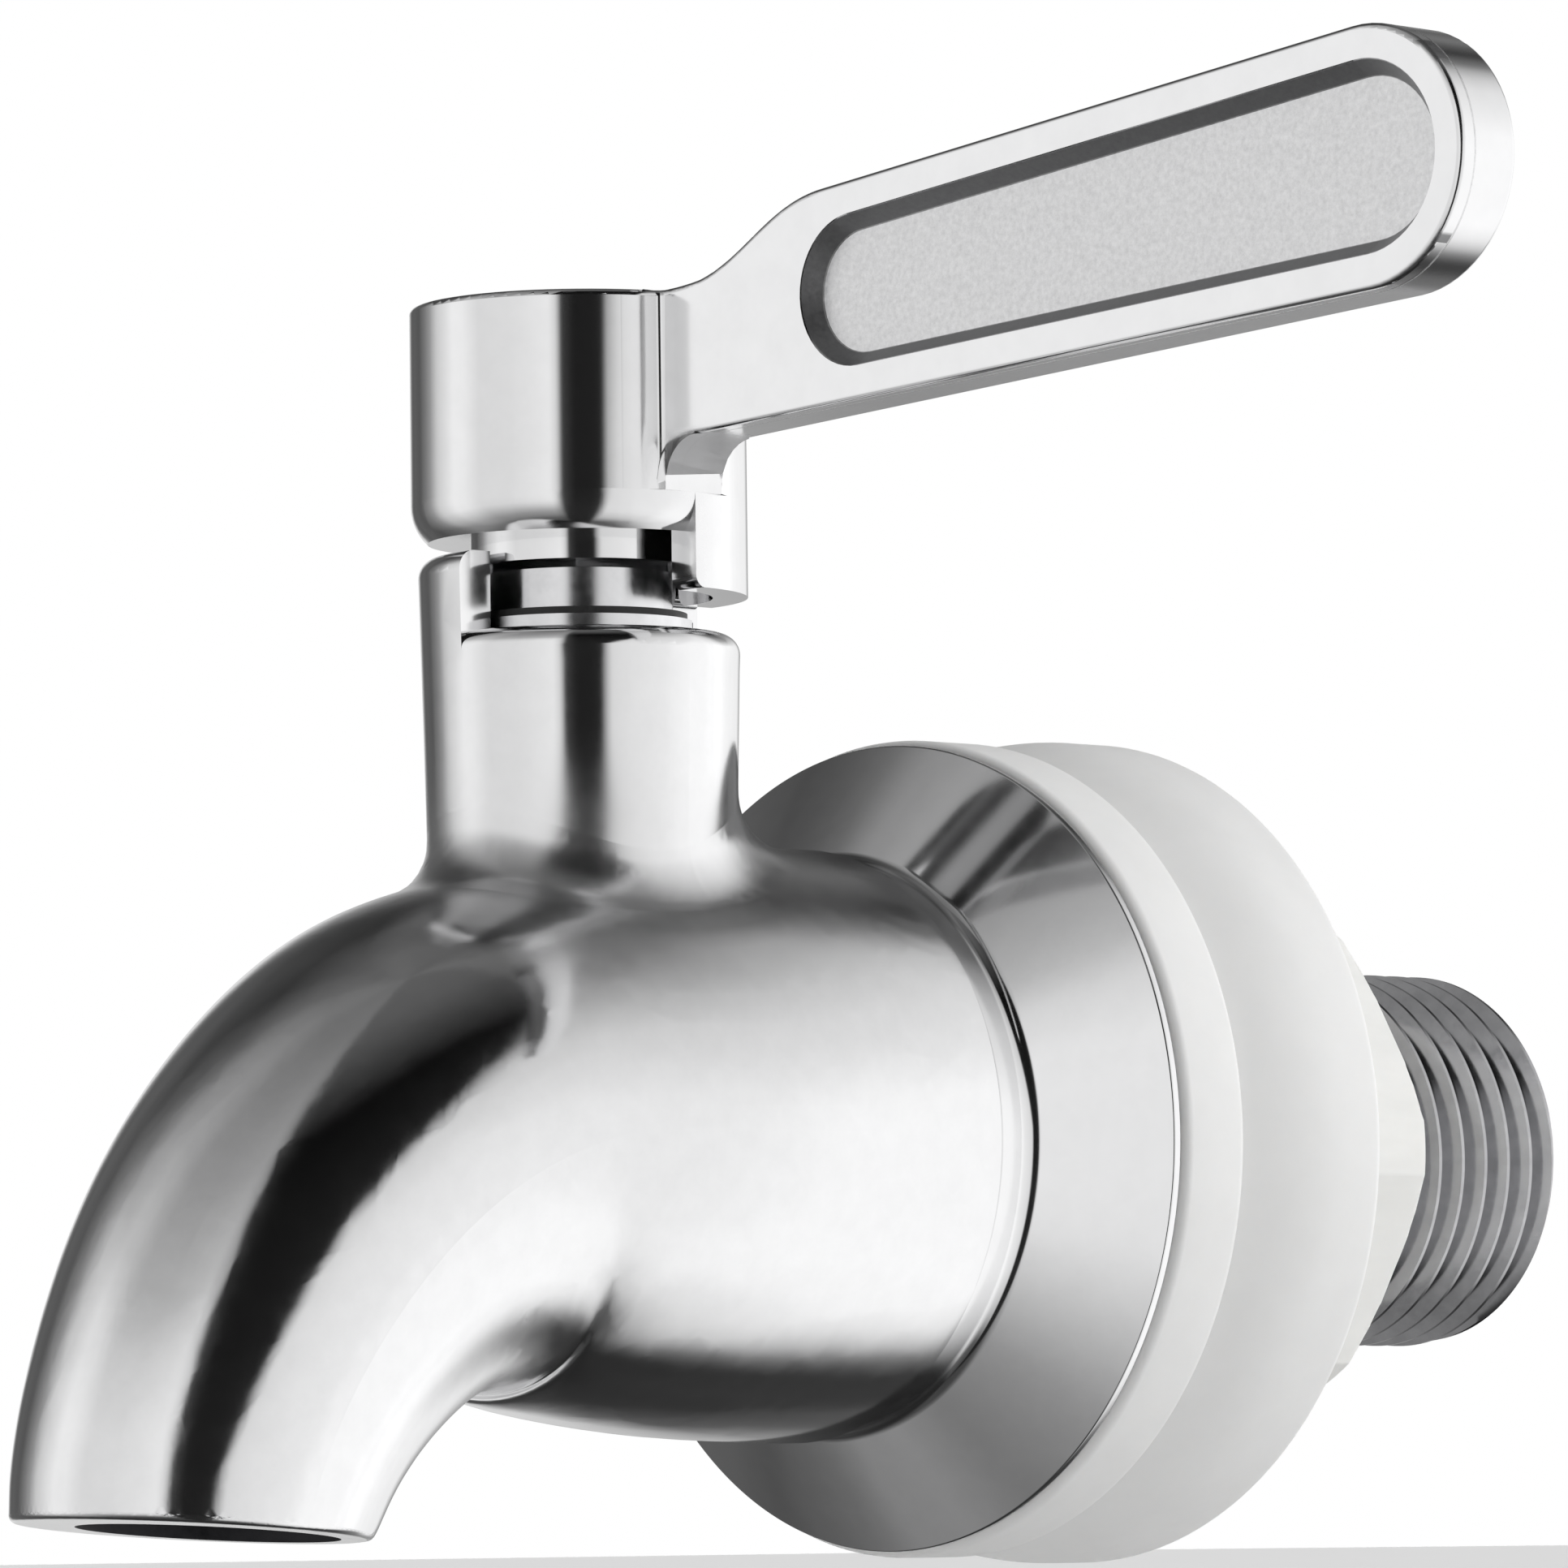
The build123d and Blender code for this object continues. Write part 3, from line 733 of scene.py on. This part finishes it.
def nylon():
    """White moulded nylon: slightly waxy, with faint flow marks."""
    s = Shader(
        "white_nylon",
        Subsurface_Weight=0.2,
        Subsurface_Scale=0.0015,
        Subsurface_Radius=(1.0, 0.92, 0.85),
    )
    haze = s.noise(500, 3, 0.6, stretch=(1, 0.3, 1))
    fine = s.noise(3500, 3, 0.6)
    s.set(
        Base_Color=s.colour(haze, (0.80, 0.80, 0.78), (0.86, 0.86, 0.84)),
        Roughness=s.ranged(fine, 0.32, 0.42),
        Normal=s.bump(fine, 0.003, 0.3, s.bump(haze, 0.015, 0.25)),
    )
    return s.material


def rubber():
    """Black seal rubber."""
    s = Shader("black_rubber")
    fine = s.noise(3500, 3, 0.6)
    s.set(
        Base_Color=s.colour(fine, (0.012, 0.012, 0.012), (0.03, 0.03, 0.03)),
        Roughness=s.ranged(fine, 0.45, 0.6),
        Normal=s.bump(fine, 0.004, 0.4),
    )
    return s.material


def valve_plastic():
    """White low friction plastic."""
    s = Shader("valve_plastic")
    fine = s.noise(2500, 3, 0.6)
    s.set(
        Base_Color=s.colour(fine, (0.80, 0.80, 0.78), (0.87, 0.87, 0.86)),
        Roughness=s.ranged(fine, 0.35, 0.45),
        Normal=s.bump(fine, 0.003, 0.3),
    )
    return s.material


looks = {
    "polished_steel": polished(),
    "satin_steel": satin(),
    "turned_steel": turned_steel(),
    "white_silicone": silicone(),
    "white_nylon": nylon(),
    "valve_plastic": valve_plastic(),
    "black_rubber": rubber(),
}


def finish_with(obj, material):
    """Gives all faces of a made piece this one material."""
    obj.data.materials.clear()
    obj.data.materials.append(material)
    obj.data.polygons.foreach_set("material_index", [0] * len(obj.data.polygons))


for obj, look in (
    (casting, "polished_steel"),
    (handle, "satin_steel"),
    (escutcheon, "polished_steel"),
    (washer, "white_silicone"),
    (gasket, "white_silicone"),
    (nut, "white_nylon"),
):
    finish_with(obj, looks[look])
# The thread's dark colour is painted shade
finish_with(thread, thread_shaded_steel())

# The casting's other two materials: the rim is what lies past the mouth's plane, and the
# channel is what lies nearer to the bend's middle line than any of the outer skin
# The channel's near black colour is painted shade
casting_mesh.materials.append(channel_shade_steel())
# The rim's bright colour is a painted highlight
casting_mesh.materials.append(rim_highlight_steel())
skin_slot, channel_slot, rim_slot = 0, 1, 2
bend_start_y, channel_reach = -25.5, 6.2
bend = [Vector(p) for p in (
    (0, -24.85, 0), (0, -34.75, 0), (0, -40.81, -10.95), (0, -41.15, -15.3),
)]
middle_line = [
    bend[0] * (1 - t) ** 3 + bend[1] * 3 * t * (1 - t) ** 2
    + bend[2] * 3 * t * t * (1 - t) + bend[3] * t**3
    for t in (k / 40 for k in range(41))
]
for face in casting_mesh.polygons:
    centre = face.center / MM
    if centre.y < bend_start_y:
        if (centre - bend[3]).dot((bend[3] - bend[2]).normalized()) > -0.02:
            face.material_index = rim_slot
        elif min((centre - p).length for p in middle_line) < channel_reach:
            face.material_index = channel_slot


def is_bend(face):
    """Whether a face is the outer skin of the spout's bend, which mirrors most."""
    return face.center.y < (neck_y - 9.6) * MM and face.material_index == skin_slot


refine(casting_mesh, is_bend)
refine(casting_mesh, is_bend)
slots = {s["node"]: s["material_slot"] for s in frame["record"]["subparts"]}
for name, obj in nodes.items():
    if not obj.hide_render:
        obj.data.materials.clear()
        obj.data.materials.append(looks[slots[name]])

# Floor, which the steel doesn't mirror
pale = Shader("pale_floor", Roughness=0.6, Specular_IOR_Level=0.0)
pale.set(Base_Color=pale.colour(pale.noise(30, 2), (0.94, 0.94, 0.94), (0.96, 0.96, 0.96)))
floor_z, floor_half = -0.034, 6.0
floor_mesh = bpy.data.meshes.new("floor")
floor_corners = ((-1, -1), (1, -1), (1, 1), (-1, 1))
floor_mesh.from_pydata(
    [(x * floor_half, y * floor_half, floor_z) for x, y in floor_corners], [], [(0, 1, 2, 3)]
)
floor_mesh.materials.append(pale.material)
floor = placed("floor", floor_mesh)
floor.visible_glossy = False

# What the steel mirrors, by direction from the tap: two soft white panels with a dark gap
# between them, and a low strip of light behind. Each stop is an angle in degrees and the
# brightness there. Around, 0 is the spout's side and 90 the lever's; upward, 0 is level.
front_around = [
    (-180, 0.04), (-132, 0.05), (-104, 0.12), (-92, 0.1), (-82, 0.22), (-75, 0.35), (-65, 0.75),
    (-56, 0.9), (-48, 1.06), (-38, 1.04), (-24, 0.86), (0, 0.88), (20, 0.97), (28, 1.02),
    (33, 0.8), (36.5, 0.03), (45, 0.0), (180, 0.0),
]
front_upward = [
    (-90, 0.04), (-66, 0.06), (-58, 0.12), (-50, 0.28), (-43, 0.38), (-28, 0.75), (-18, 0.95),
    (-6, 1.0), (20, 1.0), (30, 0.86), (37, 0.6), (50, 0.43), (62, 0.28), (76, 0.1), (90, 0.05),
]
side_start = [
    (-180, 1.25), (-165, 0.0), (62.5, 0.01), (66, 0.5), (70, 0.88), (85, 0.95), (112, 1.05),
    (125, 1.2), (165, 1.25), (180, 1.25),
]
side_end = [(-180, 0.2), (-168, 0.02), (0, 1.0), (155, 1.0), (165, 0.86), (172, 0.62), (180, 0.2)]
side_upward = [
    (-90, 0.04), (-72, 0.1), (-66, 0.35), (-61, 0.6), (-56, 0.75), (-45, 0.95), (-36, 1.0),
    (14, 1.0), (37, 0.82), (47, 0.62), (55, 0.4), (61, 0.15), (68, 0.06), (90, 0.05),
]
low_around = [
    (-180, 0.9), (-170, 1.05), (-153, 0.95), (-143, 0.35), (-135, 0.24), (-130, 0.7), (-122, 0.7),
    (-115, 0.1), (-110, 0.0), (150, 0.0), (160, 0.1), (172, 0.5), (180, 0.9),
]
low_upward = [
    (-90, 0.0), (-40, 0.02), (-28, 0.25), (-18, 1.0), (12, 1.0), (22, 0.3), (30, 0.08),
    (40, 0.0), (90, 0.0),
]
glow_upward = [(-90, 0.02), (52, 0.0), (62, 0.05), (76, 0.12), (90, 0.14)]
# What lights the white pieces and the floor: softer, and brighter from the dispenser's side
soft_around = [
    (-180, 0.62), (-150, 0.36), (-120, 0.45), (-90, 0.62), (-60, 0.14), (-40, 0.0), (40, 0.0),
    (65, 0.05), (85, 0.66), (105, 1.5), (130, 2.2), (150, 1.85), (165, 1.05), (180, 0.62),
]
soft_upward = [(-90, 0.85), (-25, 1.0), (0, 1.18), (90, 1.4)]

world = bpy.data.worlds.new("studio")
bpy.context.scene.world = world
world.use_nodes = True
world.cycles.sampling_method = "NONE"
studio = world.node_tree


def studio_math(operation, *values):
    """One calculation in the studio's light."""
    made = studio.nodes.new("ShaderNodeMath")
    made.operation = operation
    for socket, value in zip(made.inputs, values):
        feed(studio, socket, value)
    return made.outputs[0]


def brightness(angle, stops):
    """Brightness by an angle, from the first stop to the last."""
    low, high = stops[0][0], stops[-1][0]
    share = studio_math("MULTIPLY_ADD", angle, 180 / pi / (high - low), -low / (high - low))
    ramp = studio.nodes.new("ShaderNodeValToRGB")
    studio.links.new(share, ramp.inputs["Fac"])
    elements = ramp.color_ramp.elements
    for degrees, bright in stops[1:-1]:
        elements.new((degrees - low) / (high - low)).color = (bright, bright, bright, 1)
    for element, (_, bright) in ((elements[0], stops[0]), (elements[-1], stops[-1])):
        element.color = (bright, bright, bright, 1)
    return ramp.outputs[0]


ray = studio.nodes.new("ShaderNodeTexCoord").outputs["Generated"]
split = studio.nodes.new("ShaderNodeSeparateXYZ")
studio.links.new(ray, split.inputs[0])
towards_spout = studio_math("MULTIPLY", split.outputs["Y"], -1.0)
around_angle = studio_math("ARCTAN2", split.outputs["X"], towards_spout)
upward_angle = studio_math("ARCSINE", split.outputs["Z"])


def light_panel(around_stops, upward_stops):
    """Light that changes with the angle around the tap and with the angle upward."""
    return studio_math(
        "MULTIPLY", brightness(around_angle, around_stops), brightness(upward_angle, upward_stops)
    )


# The side panel's near edge leans away as it rises
lean = studio_math("MAXIMUM", studio_math("SUBTRACT", upward_angle, radians(5)), 0.0)
near_edge = brightness(studio_math("SUBTRACT", around_angle, lean), side_start)
side_panel = studio_math("MULTIPLY", near_edge, light_panel(side_end, side_upward))
panels = studio_math("ADD", light_panel(front_around, front_upward), side_panel)
low_strip = light_panel(low_around, low_upward)
glow = studio_math("ADD", low_strip, brightness(upward_angle, glow_upward))
mirrored = studio_math("ADD", panels, glow)
strength = light_panel(soft_around, soft_upward)
seen = studio.nodes.new("ShaderNodeLightPath")
for ray_kind, light in (("Is Glossy Ray", mirrored), ("Is Camera Ray", 1.0)):
    choice = studio.nodes.new("ShaderNodeMix")
    for socket, value in (("Factor", seen.outputs[ray_kind]), ("A", strength), ("B", light)):
        feed(studio, choice.inputs[socket], value)
    strength = choice.outputs["Result"]
backdrop = studio.nodes["Background"]
studio.links.new(strength, backdrop.inputs["Strength"])
backdrop.inputs["Color"].default_value = (1, 1, 1, 1)

bpy.context.scene.view_settings.view_transform = "Standard"
